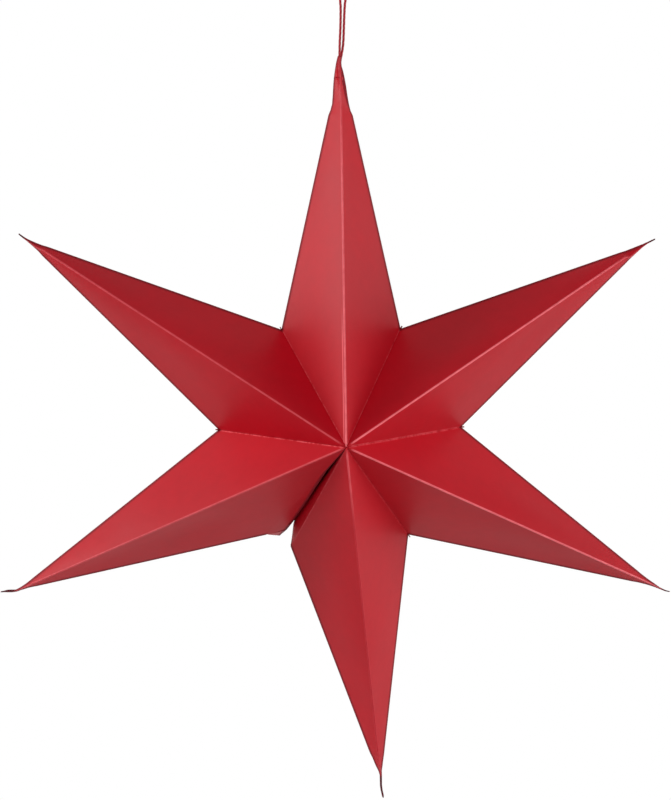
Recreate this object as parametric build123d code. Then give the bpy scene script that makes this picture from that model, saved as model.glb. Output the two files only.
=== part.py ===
"""Paper christmas star: six folded card points glued into a ring and hung by a doubled cord.

Each point is one sheet, folded along a front ridge and two side edges and glued shut along its
back ridge. Its inner edges carry flaps that are folded in and glued face to face to the flaps of
the next point. The first and the last point are left apart, because the star folds flat there.
Millimetres, +Z up, the star faces -Y. The origin is where a hook carries the loop of the cord.
"""

from build123d import *
import math
import os

# Star
star_diameter = 600.0     # from the end of a tip to the end of the tip across
half_depth = 90.0         # from the star's middle plane to its front or back centre
notch_radius = 98.0       # from the star's axis to the inner end of the side edges
seam_opening = 13.2       # degrees that the ring lacks between its first and last point
centre_hole_radius = 2.2  # the ridges end this far from the axis

# Card
card = 0.4                # thickness of the sheet
ridge_radius = 1.1        # outer radius of a folded ridge or side edge
valley_radius = 0.8       # outer radius of the fold from a panel to its flap
valley_start = 4.5        # from the front or back centre to where the valley is rounded

# Flaps on the inner edges
flap_start = 8.0          # from the front or back centre to the narrow end of the flap
flap_start_width = 1.6    # of the flap there
flap_width = 11.0         # at the widest place
flap_shoulder = 26.0      # from the notch to the widest place
flap_end = 12.0           # from the notch to where the slanted end of the flap begins
flap_end_width = 7.5      # of the flap there
flap_stop = 4.0           # from the notch to where the slanted end meets the valley
notch_tab = 2.2           # length of the little tab that stands out of a notch
notch_tab_depth = 3.6     # of the tab, from front to back
first_seam_fold = 0.0     # degrees that the free flaps of the first point are folded in
last_seam_fold = 40.0     # degrees that the free flaps of the last point are folded in

# Glued back ridge and pinched tips
back_seam_width = 5.0     # of the two margins glued together inside the back ridge
back_seam_start = 8.0     # from the star's axis to the inner end of the margins
tail_length = 9.0         # from where the side edges would meet to the end of the pinched tip
pinch_length = 12.0       # of the stretch below the tail where the hollow has closed
tail_thickness = 2.0      # four layers of card pressed together, at the root of the tail
tail_depth = 5.6          # from front to back, at the root
tail_end_thickness = 1.5
tail_end_depth = 2.4

# Top point, rolled around the cord
spout_length = 45.0       # from the mouth down to where the top point has its usual section
mouth_radius = 2.9        # outer radius of the rolled mouth
slit_length = 42.0        # the right side edge is open from the mouth down to here
slit_width = 2.4          # at its widest place, half way down

# Cord
cord_diameter = 2.0
strand_spacing = 2.2      # between the two strands in the mouth
knot_diameter = 7.0       # both ends are knotted together inside the top point
knot_height = 8.0
knot_clearance = 0.3      # between the knot and the card that it bears on

# The points in ring order, from one side of the open seam to the other, and the one that hangs up
point_names = [
    "point_lower_left",
    "point_upper_left",
    "point_top",
    "point_upper_right",
    "point_lower_right",
    "point_bottom",
]
top_index = point_names.index("point_top")

# Worked out from the sizes above
tip_radius = star_diameter / 2
apex_radius = tip_radius - tail_length
pitch = (360 - seam_opening) / len(point_names)
half_pitch = math.radians(pitch / 2)
notch_side = notch_radius * math.sin(half_pitch)
notch_height = notch_radius * math.cos(half_pitch)
side_slope = notch_side / (apex_radius - notch_height)
depth_slope = half_depth / apex_radius
flat_slope = side_slope * depth_slope / math.hypot(side_slope, depth_slope)
valley_length = math.hypot(notch_radius, half_depth)
ridge_half_angle = math.atan2(side_slope, depth_slope)
ridge_mid_card = ridge_radius * (1 / math.sin(ridge_half_angle) - 1) + card / 2
reach = 2 * star_diameter

# The knot sits where the spout has narrowed to it
neck_distance = flat_slope * (spout_length - tail_length)
knot_distance = knot_diameter / 2 + knot_clearance + card
knot_depth = spout_length * (knot_distance - mouth_radius) / (neck_distance - mouth_radius)
knot_top = knot_height / 2 - knot_depth

# The cord's left strand and half of its loop, as side and height above the mouth, in the middle
# plane of the star. The right strand mirrors it. The loop opens as it does over a hook.
strand_side = strand_spacing / 2
left_strand = [
    (-strand_side, knot_top),
    (-strand_side, knot_top / 2),
    (-strand_side - 0.05, 2.5),
    (-1.50, 11.0),
    (-1.62, 25.0),
    (-1.85, 47.0),
    (-8.00, 66.0),
    (-5.00, 76.0),
]
route = left_strand + [(-side, height) for side, height in reversed(left_strand)]
loop_top = max(height for side, height in route) - cord_diameter / 2
star_centre = Pos(0, 0, -(tip_radius + loop_top))


def rhombus(half_width, half_height, inset):
    """Rhombus with its sides moved in by an inset."""
    flat_distance = half_width * half_height / math.hypot(half_width, half_height)
    scale = (flat_distance - inset) / flat_distance
    return Polygon(
        (half_width * scale, 0),
        (0, half_height * scale),
        (-half_width * scale, 0),
        (0, -half_height * scale),
    )


def spike(height, inset):
    """Four flat panels with rounded folds between them, from the star's axis up to a height."""
    base = rhombus(side_slope * apex_radius, depth_slope * apex_radius, inset * math.hypot(1, flat_slope))
    body = extrude(base, amount=height, taper=math.degrees(math.atan(flat_slope)))
    folds = body.edges().filter_by(lambda edge: abs((edge % 0).Z) > 0.5)
    return fillet(folds, ridge_radius - inset)


def end_face(body):
    """The face that closes a body at its outer end."""
    return body.faces().sort_by(Axis.Z)[-1]


def tail_section(height, thickness, depth):
    """Lens-like section of a point's pinched tip."""
    lens = rhombus(thickness / 2, depth / 2, 0)
    return Pos(0, 0, height) * fillet(lens.vertices(), thickness / 5)


def mouth_section(inset):
    """Nearly round section of the top point's rolled mouth."""
    half_width = math.sqrt(2) * mouth_radius
    square = rhombus(half_width, half_width, inset)
    return Pos(0, 0, tip_radius) * fillet(square.vertices(), 0.95 * mouth_radius - inset)


def plain_shell():
    """A point as a hollow spike with a pinched tip, from the star's axis outwards."""
    pinch = apex_radius - pinch_length
    outer = spike(pinch, 0)
    tail = loft(
        [
            end_face(outer),
            tail_section(apex_radius, tail_thickness, tail_depth),
            tail_section(tip_radius, tail_end_thickness, tail_end_depth),
        ],
        ruled=True,
    )
    return outer + tail - spike(pinch, card)


def spout_shell():
    """The top point, which widens towards its round mouth, from the star's axis upwards."""
    neck = tip_radius - spout_length
    outer, inner = (spike(neck, inset) for inset in (0, card))
    rolled = loft([end_face(outer), mouth_section(0)], ruled=True)
    hollow = loft([end_face(inner), mouth_section(card)], ruled=True)
    return outer + rolled - inner - hollow


def wedge():
    """The part of the ring that belongs to one point, between its two glue planes."""
    side = reach * math.sin(half_pitch)
    height = reach * math.cos(half_pitch)
    outline = Polygon((0, 0), (side, height), (-side, height), align=None)
    return extrude(Plane.XZ * outline, amount=reach, both=True)


def front_right_valley():
    """Start and directions of the fold between the front right panel and its flap.

    Gives the front centre, the direction along the fold to the notch, the direction in which the
    panel would run on past the fold, and the panel's outer normal.
    """
    centre = Vector(0, -half_depth, 0)
    notch = Vector(notch_side, 0, notch_height)
    apex = Vector(0, 0, apex_radius)
    along = (notch - centre).normalized()
    normal = along.cross(apex - centre).normalized()
    return centre, along, along.cross(normal), normal


def glued_fold():
    """Angle in degrees that turns a flap from the plane of its panel into the glue plane."""
    normal = front_right_valley()[3]
    glue_normal = Vector(math.cos(half_pitch), 0, -math.sin(half_pitch))
    return normal.get_angle(glue_normal)


def flap(fold):
    """Front right flap, folded in from the plane of its panel by an angle in degrees."""
    centre, along, onward, normal = front_right_valley()
    turn = math.radians(fold)
    across = onward * math.cos(turn) - normal * math.sin(turn)
    outline = Polygon(
        (flap_start, 0),
        (valley_length - flap_stop, 0),
        (valley_length - flap_end, flap_end_width),
        (valley_length - flap_shoulder, flap_width),
        (flap_start + flap_start_width, flap_start_width),
        align=None,
    )
    face = Plane(origin=centre, x_dir=along, z_dir=along.cross(across)) * outline
    return extrude(face, amount=card)


def fold_relief():
    """What the rounding of the fold takes off the corner between the front right panel and flap."""
    centre, along, onward, normal = front_right_valley()
    turn = math.radians(glued_fold())
    back = valley_radius * math.tan(turn / 2)
    over = 2 * card
    on_panel = (-back, 0)
    on_flap = (back * math.cos(turn), -back * math.sin(turn))
    crown = (
        -back + valley_radius * math.sin(turn / 2),
        -valley_radius * (1 - math.cos(turn / 2)),
    )
    past_flap = (on_flap[0] + over * math.sin(turn), on_flap[1] + over * math.cos(turn))
    edge = ThreePointArc(on_panel, crown, on_flap) + Polyline(
        on_flap, past_flap, (0, over), (-back, over), on_panel
    )
    frame = Plane(origin=centre + along * valley_start, x_dir=onward, z_dir=onward.cross(normal))
    length = valley_length - valley_start + over
    return extrude(frame * make_face(edge), amount=length, dir=along)


def on_all_valleys(shape):
    """Four copies of a shape, from the front right valley to all four valleys of a point."""
    right = [shape, mirror(shape, about=Plane.XZ)]
    return right + [mirror(each, about=Plane.YZ) for each in right]


def tab():
    """Little tab of the right flaps that stands out of the notch, in the glue plane."""
    frame = Plane(
        origin=(0, 0, 0),
        x_dir=(math.sin(half_pitch), 0, math.cos(half_pitch)),
        z_dir=(-math.cos(half_pitch), 0, math.sin(half_pitch)),
    )
    length = notch_tab + 2 * ridge_radius
    middle = notch_radius + notch_tab - length / 2
    outline = Pos(middle, 0) * RectangleRounded(length, notch_tab_depth, notch_tab_depth / 3)
    return extrude(frame * outline, amount=card)


def back_seam(top):
    """The two margins glued together inside the back ridge, as one fin."""
    start_depth = depth_slope * (apex_radius - back_seam_start)
    end = tip_radius - spout_length if top else apex_radius - 2 * pinch_length
    end_depth = depth_slope * (apex_radius - end)
    outline = Polygon(
        (start_depth - ridge_mid_card, back_seam_start),
        (start_depth - back_seam_width, back_seam_start),
        (end_depth - back_seam_width, end),
        (end_depth - ridge_mid_card, end),
        align=None,
    )
    return extrude(Plane.YZ * outline, amount=card, both=True)


def slit():
    """Opening along the right side edge of the top point, where the cord was put in."""
    outline = Polygon(
        (0, tip_radius + card),
        (-slit_width / 2, tip_radius - slit_length / 2),
        (0, tip_radius - slit_length),
        (slit_width / 2, tip_radius - slit_length / 2),
        align=None,
    )
    return extrude(Plane.YZ * outline, amount=reach)


def point(index):
    """One folded sheet as it stands upright, with the star's axis at the origin.

    The flaps that face the open seam are free: those of the first point are on its left, and
    those of the last point on its right.
    """
    folded = flap(glued_fold())
    flaps = on_all_valleys(folded)
    reliefs = on_all_valleys(fold_relief())
    free_flaps = []
    if index == 0:
        flaps, reliefs = flaps[:2], reliefs[:2]
        free_flaps = on_all_valleys(flap(first_seam_fold))[2:]
    if index == len(point_names) - 1:
        flaps, reliefs = flaps[2:], reliefs[2:]
        free_flaps = on_all_valleys(flap(last_seam_fold))[:2]

    ring_part = wedge()
    top = index == top_index
    shell = spout_shell() if top else plain_shell()
    sheet = (shell & ring_part) + back_seam(top)
    for each in flaps:
        sheet += each & ring_part
    for each in reliefs:
        sheet -= each
    for each in free_flaps + [tab(), mirror(tab(), about=Plane.YZ)]:
        sheet += each
    sheet -= Plane.XZ * Cylinder(centre_hole_radius, reach)
    return sheet - slit() if top else sheet


def cord_path():
    """Straight runs joined by tangent arcs, each as large as its two runs allow."""
    corners = [Vector(side, 0, height - loop_top) for side, height in route]
    radii = []
    for before, corner, after in zip(corners, corners[1:], corners[2:]):
        half_turn = math.radians((corner - before).get_angle(after - corner) / 2)
        run = min((corner - before).length, (after - corner).length)
        radii.append(0.45 * run / math.tan(half_turn))
    print("cord radii", [round(radius, 1) for radius in radii])
    return FilletPolyline(*corners, radius=radii)


def hanging_cord():
    """The doubled cord, from the knot up over the hook and back down to the knot."""
    path = cord_path()
    print("cord length", round(path.length, 1))
    return sweep(Plane(origin=path @ 0, z_dir=path % 0) * Circle(cord_diameter / 2), path=path)


def cord_knot():
    """The knot of both cord ends, a barrel with a flat top where the strands come out."""
    flat_radius = strand_side + cord_diameter / 2 + knot_clearance
    top, middle, bottom = knot_top, knot_top - knot_height / 2, knot_top - knot_height
    side = ThreePointArc((flat_radius, bottom), (knot_diameter / 2, middle), (flat_radius, top))
    profile = make_face(side + Polyline((flat_radius, top), (0, top), (0, bottom), (flat_radius, bottom)))
    return Pos(0, 0, -loop_top) * revolve(Plane.XZ * profile, axis=Axis.Z)


parts = {"hanging_cord": hanging_cord(), "cord_knot": cord_knot()}
for index, name in enumerate(point_names):
    parts[name] = star_centre * Rot(0, (index - top_index) * pitch, 0) * point(index)

os.makedirs("parts", exist_ok=True)
for name, shape in parts.items():
    export_step(shape, f"parts/{name}.step")
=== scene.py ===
"""Looks of the paper christmas star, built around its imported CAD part.

Six points of red card are folded from one sheet each and glued into a ring. A doubled cord comes
out of the rolled tip of the top point. Everything is in the CAD frame: +Z up, the star faces -Y,
and a hook carries the loop of the cord at the origin. Sizes in the classes are millimetres, as in
the CAD source, and become metres where a mesh is made.
"""

from __future__ import annotations

import logging
import math
from dataclasses import dataclass
from enum import Enum
from typing import Any, Sequence

import bmesh
import bpy
from mathutils import Matrix, Vector, noise

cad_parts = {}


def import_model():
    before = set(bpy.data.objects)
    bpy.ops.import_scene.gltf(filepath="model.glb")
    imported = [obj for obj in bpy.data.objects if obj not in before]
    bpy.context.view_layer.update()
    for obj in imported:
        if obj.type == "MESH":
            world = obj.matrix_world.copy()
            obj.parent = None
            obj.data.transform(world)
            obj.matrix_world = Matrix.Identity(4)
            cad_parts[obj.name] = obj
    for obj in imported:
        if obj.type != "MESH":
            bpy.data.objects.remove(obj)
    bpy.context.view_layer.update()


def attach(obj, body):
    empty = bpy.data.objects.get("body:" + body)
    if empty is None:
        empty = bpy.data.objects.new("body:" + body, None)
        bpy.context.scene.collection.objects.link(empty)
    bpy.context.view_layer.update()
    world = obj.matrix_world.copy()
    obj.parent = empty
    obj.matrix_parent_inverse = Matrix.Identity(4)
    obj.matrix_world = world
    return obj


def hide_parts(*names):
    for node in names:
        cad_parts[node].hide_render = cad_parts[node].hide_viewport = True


LOG = logging.getLogger("paper_star")
MM = 0.001
PICTURE_WIDTH = 671
PICTURE_HEIGHT = 800

Point = tuple[float, float, float]
Stops = Sequence[tuple[float, float]]


def read_stops(stops: Stops, at: float) -> float:
    """Reads a value from a short list of (place, value) stops, straight between its stops.

    Args:
        stops: The stops in rising order of place.
        at: The place that the value is wanted for.

    Returns:
        The value there, or the first or last value outside the list.
    """
    if at <= stops[0][0]:
        return stops[0][1]
    for (low, first), (high, second) in zip(stops, stops[1:]):
        if at <= high:
            return first + (second - first) * (at - low) / (high - low)
    return stops[-1][1]


def smooth(value: float) -> float:
    """Smooth step from 0 to 1 of a value that is first held to that range."""
    held = min(1.0, max(0.0, value))
    return held * held * (3 - 2 * held)


# Shader building


class Wire:
    """A node socket or a plain value that takes part in shader maths."""

    def __init__(self, bench: "NodeBench", source: Any) -> None:
        """Wraps a socket or a number.

        Args:
            bench: The bench whose node tree the wire belongs to.
            source: An output socket, or a number.
        """
        self.bench = bench
        self.source = source

    def _math(self, operation: str, *values: Any) -> "Wire":
        """A Math node's result for an operation on some values."""
        return self.bench.node("ShaderNodeMath", {"operation": operation}, dict(enumerate(values)))

    def __add__(self, other: Any) -> "Wire":
        """Sum of two values."""
        return self._math("ADD", self, other)

    __radd__ = __add__

    def __sub__(self, other: Any) -> "Wire":
        """Difference of two values."""
        return self._math("SUBTRACT", self, other)

    def __rsub__(self, other: Any) -> "Wire":
        """Difference of a number and this value."""
        return self._math("SUBTRACT", other, self)

    def __mul__(self, other: Any) -> "Wire":
        """Product of two values."""
        return self._math("MULTIPLY", self, other)

    __rmul__ = __mul__

    def held(self) -> "Wire":
        """This value held between 0 and 1."""
        return self._math("MINIMUM", self._math("MAXIMUM", self, 0.0), 1.0)

    def fade(self, start: float, end: float) -> "Wire":
        """Smooth change from 0 at one value of this wire to 1 at another.

        Args:
            start: The value at which the result is 0.
            end: The value at which the result is 1, above or below the start.

        Returns:
            A wire between 0 and 1.
        """
        low, high, first, last = (start, end, 0.0, 1.0) if start < end else (end, start, 1.0, 0.0)
        settings = {"interpolation_type": "SMOOTHSTEP"}
        sockets = {"Value": self, "From Min": low, "From Max": high, "To Min": first, "To Max": last}
        return self.bench.node("ShaderNodeMapRange", settings, sockets, "Result")


class NodeBench:
    """A node tree of a material or world and the ways to add to it."""

    def __init__(self, tree: bpy.types.NodeTree) -> None:
        """Empties a node tree to work on.

        Args:
            tree: The tree of a material or world.
        """
        self.tree = tree
        self.tree.nodes.clear()

    def node(
        self,
        kind: str,
        settings: dict[str, Any] | None = None,
        sockets: dict[Any, Any] | None = None,
        output: Any = 0,
    ) -> Wire:
        """Adds a node with its settings, then its socket values and links.

        Args:
            kind: Blender's type name of the node.
            settings: Properties of the node.
            sockets: Values or wires for the inputs, by name or number.
            output: Name or number of the output that is returned.

        Returns:
            The wire of one output.
        """
        made = self.tree.nodes.new(kind)
        for key, value in (settings or {}).items():
            setattr(made, key, value)
        for key, value in (sockets or {}).items():
            socket = made.inputs[key]
            source = value.source if isinstance(value, Wire) else value
            if isinstance(source, bpy.types.NodeSocket):
                self.tree.links.new(source, socket)
            else:
                socket.default_value = source
        return Wire(self, made.outputs[output])

    def attribute(self, name: str) -> Wire:
        """Value of a mesh attribute."""
        return self.node("ShaderNodeAttribute", {"attribute_name": name}, None, "Fac")

    def place(self) -> Wire:
        """Position on the object, in its own coordinates."""
        return self.node("ShaderNodeTexCoord", None, None, "Object")

    def stretched(self, place: Wire, scale: Point) -> Wire:
        """A position multiplied by a scale along each axis."""
        settings = {"operation": "MULTIPLY"}
        return self.node("ShaderNodeVectorMath", settings, {0: place, 1: scale}, "Vector")

    def noise(self, place: Wire, scale: float, detail: float = 2.0, rough: float = 0.5) -> Wire:
        """Fractal noise around 0.5 at a scale given per metre."""
        sockets = {"Vector": place, "Scale": scale, "Detail": detail, "Roughness": rough}
        return self.node("ShaderNodeTexNoise", None, sockets, "Fac")

    def blend(self, share: Any, first: Any, second: Any) -> Wire:
        """Mix of two colours.

        Args:
            share: How much of the second colour, from 0 to 1.
            first: A colour or a wire.
            second: A colour or a wire.

        Returns:
            The mixed colour.
        """
        first = (*first, 1.0) if isinstance(first, tuple) else first
        second = (*second, 1.0) if isinstance(second, tuple) else second
        sockets = {0: share, 6: first, 7: second}
        return self.node("ShaderNodeMix", {"data_type": "RGBA"}, sockets, 2)

    def bump(self, height: Wire, distance: float, strength: float, under: Wire | None = None) -> Wire:
        """Bump from a height.

        Args:
            height: The height, from 0 to 1.
            distance: What a height of 1 stands for, in metres.
            strength: How much of the bump is used.
            under: A bump that this one lies on.

        Returns:
            The bent normal.
        """
        sockets = {"Height": height, "Distance": distance, "Strength": strength}
        if under is not None:
            sockets["Normal"] = under
        return self.node("ShaderNodeBump", None, sockets)

    def principled(self, sockets: dict[str, Any]) -> Wire:
        """A Principled shader with these sockets."""
        return self.node("ShaderNodeBsdfPrincipled", None, sockets)

    def white_to_the_eye(self) -> Wire:
        """Tells the rays that meet the eye from the rest.

        Returns:
            1 for camera, mirror and see-through rays, and 0 for all others.
        """
        rays = ("Is Camera Ray", "Is Glossy Ray", "Is Transmission Ray")
        camera, glossy, through = (self.node("ShaderNodeLightPath", None, None, ray) for ray in rays)
        return (camera + glossy + through).held()

    def end(self, shader: Wire, kind: str = "ShaderNodeOutputMaterial") -> None:
        """Links a shader to the tree's output."""
        out = self.tree.nodes.new(kind)
        self.tree.links.new(shader.source, out.inputs["Surface"])


def new_material(name: str) -> tuple[bpy.types.Material, NodeBench]:
    """A new material and the bench for its nodes.

    Args:
        name: Name of the material.

    Returns:
        The material and its bench.
    """
    material = bpy.data.materials.new(name)
    material.use_nodes = True
    return material, NodeBench(material.node_tree)


def new_object(name: str, data: bpy.types.ID) -> bpy.types.Object:
    """A new object in the scene.

    Args:
        name: Name of the object.
        data: Its mesh, curve, lamp or camera.

    Returns:
        The object.
    """
    made = bpy.data.objects.new(name, data)
    bpy.context.scene.collection.objects.link(made)
    return made


def smooth_object(name: str, shape: bmesh.types.BMesh) -> bpy.types.Object:
    """A new smooth object from a finished bmesh, which is freed.

    Args:
        name: Name of the object and its mesh.
        shape: The finished bmesh.

    Returns:
        The object.
    """
    mesh = bpy.data.meshes.new(name)
    shape.to_mesh(mesh)
    shape.free()
    for face in mesh.polygons:
        face.use_smooth = True
    return new_object(name, mesh)


def new_spline(name: str, places: Sequence[Point], order: int, closed: bool) -> bpy.types.Object:
    """A new curve of one spline.

    Args:
        name: Name of the object and its curve.
        places: Control points, in metres.
        order: Order of the spline.
        closed: Whether its end runs on into its start.

    Returns:
        The new object.
    """
    data = bpy.data.curves.new(name, "CURVE")
    data.dimensions = "3D"
    spline = data.splines.new("NURBS")
    spline.points.add(len(places) - 1)
    for point, place in zip(spline.points, places):
        point.co = (*place, 1.0)
    spline.order_u = order
    spline.use_endpoint_u = not closed
    spline.use_cyclic_u = closed
    return new_object(name, data)


@dataclass(frozen=True)
class RedCard:
    """Smooth dyed card, slight satin sheen, worn folds with painted highlights, rims with painted
    shade.
    """

    colour: Point = (0.50, 0.0014, 0.0105)
    shade: Point = (0.44, 0.0012, 0.0090)
    # light colour of worn folds, also used as the painted highlight of rounded ridges
    rubbed_and_highlit: Point = (1.0, 0.20, 0.23)
    # painted shade: near-black red laid along the side folds and free flap rims; it also darkens the
    # tail ends
    edge: Point = (0.062, 0.005, 0.009)
    roughness: float = 0.42
    specular: float = 0.17
    clouds_per_metre: float = 14.0
    mottles_per_metre: float = 130.0
    flecks_per_metre: float = 420.0
    fibres_per_metre: float = 900.0
    grain_per_metre: float = 2600.0
    wave_height: float = 0.0012
    dent_height: float = 0.00012
    grain_height: float = 0.00005
    ridge_wear_and_highlight_width: float = 1.3
    ridge_wear_and_highlight_full: float = 0.35      # millimetres from the ridge within which its wear and painted highlight are full
    valley_wear_width: float = 1.6
    valley_patches: tuple[float, float] = (0.36, 0.60)
    # painted highlight of a second crease beside the front ridge: its distance and half width
    twin_offset: float = 2.3
    twin_width: float = 0.8
    # width and full-strength line of the painted shade along the rims
    edge_shade_width: float = 4.0
    edge_shade_line: float = 1.2

    def material(self) -> bpy.types.Material:
        """The card's material.

        Returns:
            A material that reads the fold distances, wear and painted highlight strengths on the
            sheets.
        """
        material, bench = new_material("red_card")
        place = bench.place()
        cloud = bench.noise(place, self.clouds_per_metre, 3.0)
        mottle = bench.noise(place, self.mottles_per_metre, 4.0, 0.6)
        flecks = bench.noise(place, self.flecks_per_metre, 3.0, 0.55)
        grain = bench.noise(place, self.grain_per_metre, 3.0, 0.6)
        along = bench.stretched(place, (1.0, 1.0, 0.25))
        fibres = bench.noise(along, self.fibres_per_metre, 3.0, 0.6)
        from_ridge = bench.attribute("ridge_mm")
        # the ridge lines are partly wear and partly a painted highlight of the rounded fold
        ridge = from_ridge.fade(self.ridge_wear_and_highlight_width, self.ridge_wear_and_highlight_full)
        ridge_worn_and_highlit = ridge * bench.attribute("ridge_wear_and_highlight") * (0.35 + mottle * 0.9)
        valley = bench.attribute("valley_mm").fade(self.valley_wear_width, 0.0)
        patches = (flecks * 0.5 + mottle * 0.5).fade(*self.valley_patches)
        valley_worn = valley * bench.attribute("valley_wear") * patches
        # painted highlight of a second crease on the front left panel, beside the front ridge
        inner = from_ridge.fade(self.twin_offset + self.twin_width, self.twin_offset)
        outer = from_ridge.fade(self.twin_offset - self.twin_width, self.twin_offset)
        twin_highlit = inner * outer * bench.attribute("twin_highlight")
        worn_and_highlit = (ridge_worn_and_highlit + valley_worn + twin_highlit).held()
        base = bench.blend((cloud * 0.6 + mottle * 0.4).fade(0.3, 0.7), self.shade, self.colour)
        rubbed_and_highlit = bench.blend(worn_and_highlit, base, self.rubbed_and_highlit)
        # painted shade along the side folds and free flap rims, where the card turns away from the
        # light
        outline = bench.attribute("edge_mm").fade(self.edge_shade_width, self.edge_shade_line)
        # painted rim shade plus the darker end of each tail
        dark = (outline * 0.7 + bench.attribute("tail")).held()
        colour = bench.blend(dark * (0.75 + flecks * 0.4), rubbed_and_highlit, self.edge)
        uneven = (grain - 0.5) * 0.08 + (cloud - 0.5) * 0.10
        rough = self.roughness + uneven - worn_and_highlit * 0.05 + dark * 0.3
        waves = bench.bump(cloud, self.wave_height, 0.30)
        dents = bench.bump(mottle, self.dent_height, 0.5, waves)
        surface = bench.bump(fibres * 0.5 + grain * 0.5, self.grain_height, 0.4, dents)
        shader = bench.principled(
            {
                "Base Color": colour,
                "Roughness": rough,
                "Specular IOR Level": self.specular,
                "Normal": surface,
            }
        )
        bench.end(shader)
        return material


@dataclass(frozen=True)
class TwistedThread:
    """Red twisted cord with a soft sheen."""

    colour: Point = (0.47, 0.030, 0.040)
    # painted shade for the grooves between the plies
    shade: Point = (0.13, 0.006, 0.012)
    roughness: float = 0.66
    sheen: float = 0.05
    specular: float = 0.15
    clouds_per_metre: float = 240.0
    fibres_per_metre: float = 5200.0
    fibre_height: float = 0.00008

    def material(self) -> bpy.types.Material:
        """The cord's material.

        Returns:
            A material that reads the depth of the twist stored on the cord and paints shade into its
            grooves.
        """
        material, bench = new_material("twisted_thread")
        place = bench.place()
        hollow = bench.attribute("hollow")
        along = bench.stretched(place, (1.0, 1.0, 0.35))
        fibre = bench.noise(along, self.fibres_per_metre, 3.0, 0.6)
        cloud = bench.noise(place, self.clouds_per_metre, 2.0)
        # painted shade in the grooves between plies, mixed with random fibre and tone changes
        depth = (hollow * 0.8 + (fibre - 0.5) * 0.5 + (cloud - 0.5) * 0.2).held()
        shader = bench.principled(
            {
                "Base Color": bench.blend(depth, self.colour, self.shade),
                "Roughness": self.roughness + (fibre - 0.5) * 0.2,
                "Sheen Weight": self.sheen,
                "Specular IOR Level": self.specular,
                "Normal": bench.bump(fibre, self.fibre_height, 0.5),
            }
        )
        bench.end(shader)
        return material


@dataclass(frozen=True)
class PalePaint:
    """Pale studio floor and backdrop, white to the camera and in reflections."""

    colour: Point = (0.86, 0.86, 0.86)
    fleck: Point = (0.82, 0.82, 0.82)
    roughness: float = 0.85
    specular: float = 0.2
    flecks_per_metre: float = 35.0

    def material(self) -> bpy.types.Material:
        """The paint's material.

        Returns:
            A material that is plain white to camera and mirror rays, and pale paint to the rest.
        """
        material, bench = new_material("pale_paint")
        share = bench.noise(bench.place(), self.flecks_per_metre, 3.0)
        paint = bench.principled(
            {
                "Base Color": bench.blend(share, self.colour, self.fleck),
                "Roughness": self.roughness,
                "Specular IOR Level": self.specular,
            }
        )
        white = bench.node("ShaderNodeEmission", None, {"Color": (1, 1, 1, 1), "Strength": 1.0})
        seen = bench.white_to_the_eye()
        bench.end(bench.node("ShaderNodeMixShader", None, {0: seen, 1: paint, 2: white}))
        return material


# Shape of the star


@dataclass(frozen=True)
class StarSizes:
    """Sizes of the star and its card that all points share."""

    half_depth: float = 90.0
    card: float = 0.4
    ridge_radius: float = 0.7
    tip_fold_share: float = 0.35   # radius of a fold near the tip, as a share of the half width
    fold_flat: float = 0.3         # distance beside a fold's line that still counts as the fold
    valley_radius: float = 0.45
    least_flap: float = 0.05
    back_hole_radius: float = 2.2
    glue_overlap: float = 0.02     # how far a rounded fold reaches past the glue plane
    wave_height: float = 0.9
    waves_per_mm: float = 0.016
    tab_length: float = 2.2
    tab_depth: float = 3.6
    centre_height: float = -375.0


class Crease(Enum):
    """The four folds that run from the star's middle to a point's tip, in the order of the sheet."""

    BACK = 0
    RIGHT = 1
    FRONT = 2
    LEFT = 3

    @property
    def following(self) -> "Crease":
        """The next fold of the sheet."""
        return Crease((self.value + 1) % 4)

    @property
    def leading(self) -> "Crease":
        """The fold before this one."""
        return Crease((self.value - 1) % 4)


class OpenSide(Enum):
    """Which flaps of a point are free because the ring is open there."""

    NONE = 0
    RIGHT = 1
    LEFT = -1


@dataclass(frozen=True)
class Notch:
    """Where the side edges of two neighbouring points meet, or where one ends at the open seam."""

    angle: float           # degrees clockwise from the top, seen from the front
    radius: float          # from the star's axis
    wear_before: float = 0.4   # how worn the valley is on the point before it, clockwise
    wear_after: float = 0.4    # and on the point after it


@dataclass(frozen=True)
class PinchedTip:
    """The end of a point, pressed flat into a thin tail that leans a little.

    All stops are along the point's middle line, from the star's axis outwards.
    """

    half_width: Stops
    side: Stops
    half_depth: Stops
    ridge_lean: Stops = ((0, 0.0),)
    dark_length: float = 12.0
    dark_fade: float = 4.0
    row_length: float = 0.8
    blend_length: float = 6.0

    @property
    def start(self) -> float:
        """Where the tip leaves the even shape of the point."""
        return self.half_width[0][0]

    @property
    def end(self) -> float:
        """The end of the tail."""
        return self.half_width[-1][0]

    def shape(self, across: float, deep: float, along: float) -> Vector:
        """A place of the tip.

        Args:
            across: Sideways place in the section, from -1 at the left side edge to 1 at the right.
            deep: Place in the section from -1 at the front ridge to 1 at the back ridge.
            along: Place along the middle line.

        Returns:
            The place in the point's own frame.
        """
        lean = read_stops(self.ridge_lean, along) * max(0.0, -deep)
        return Vector(
            (
                read_stops(self.side, along) + across * read_stops(self.half_width, along) + lean,
                deep * read_stops(self.half_depth, along),
                along,
            )
        )


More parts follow.
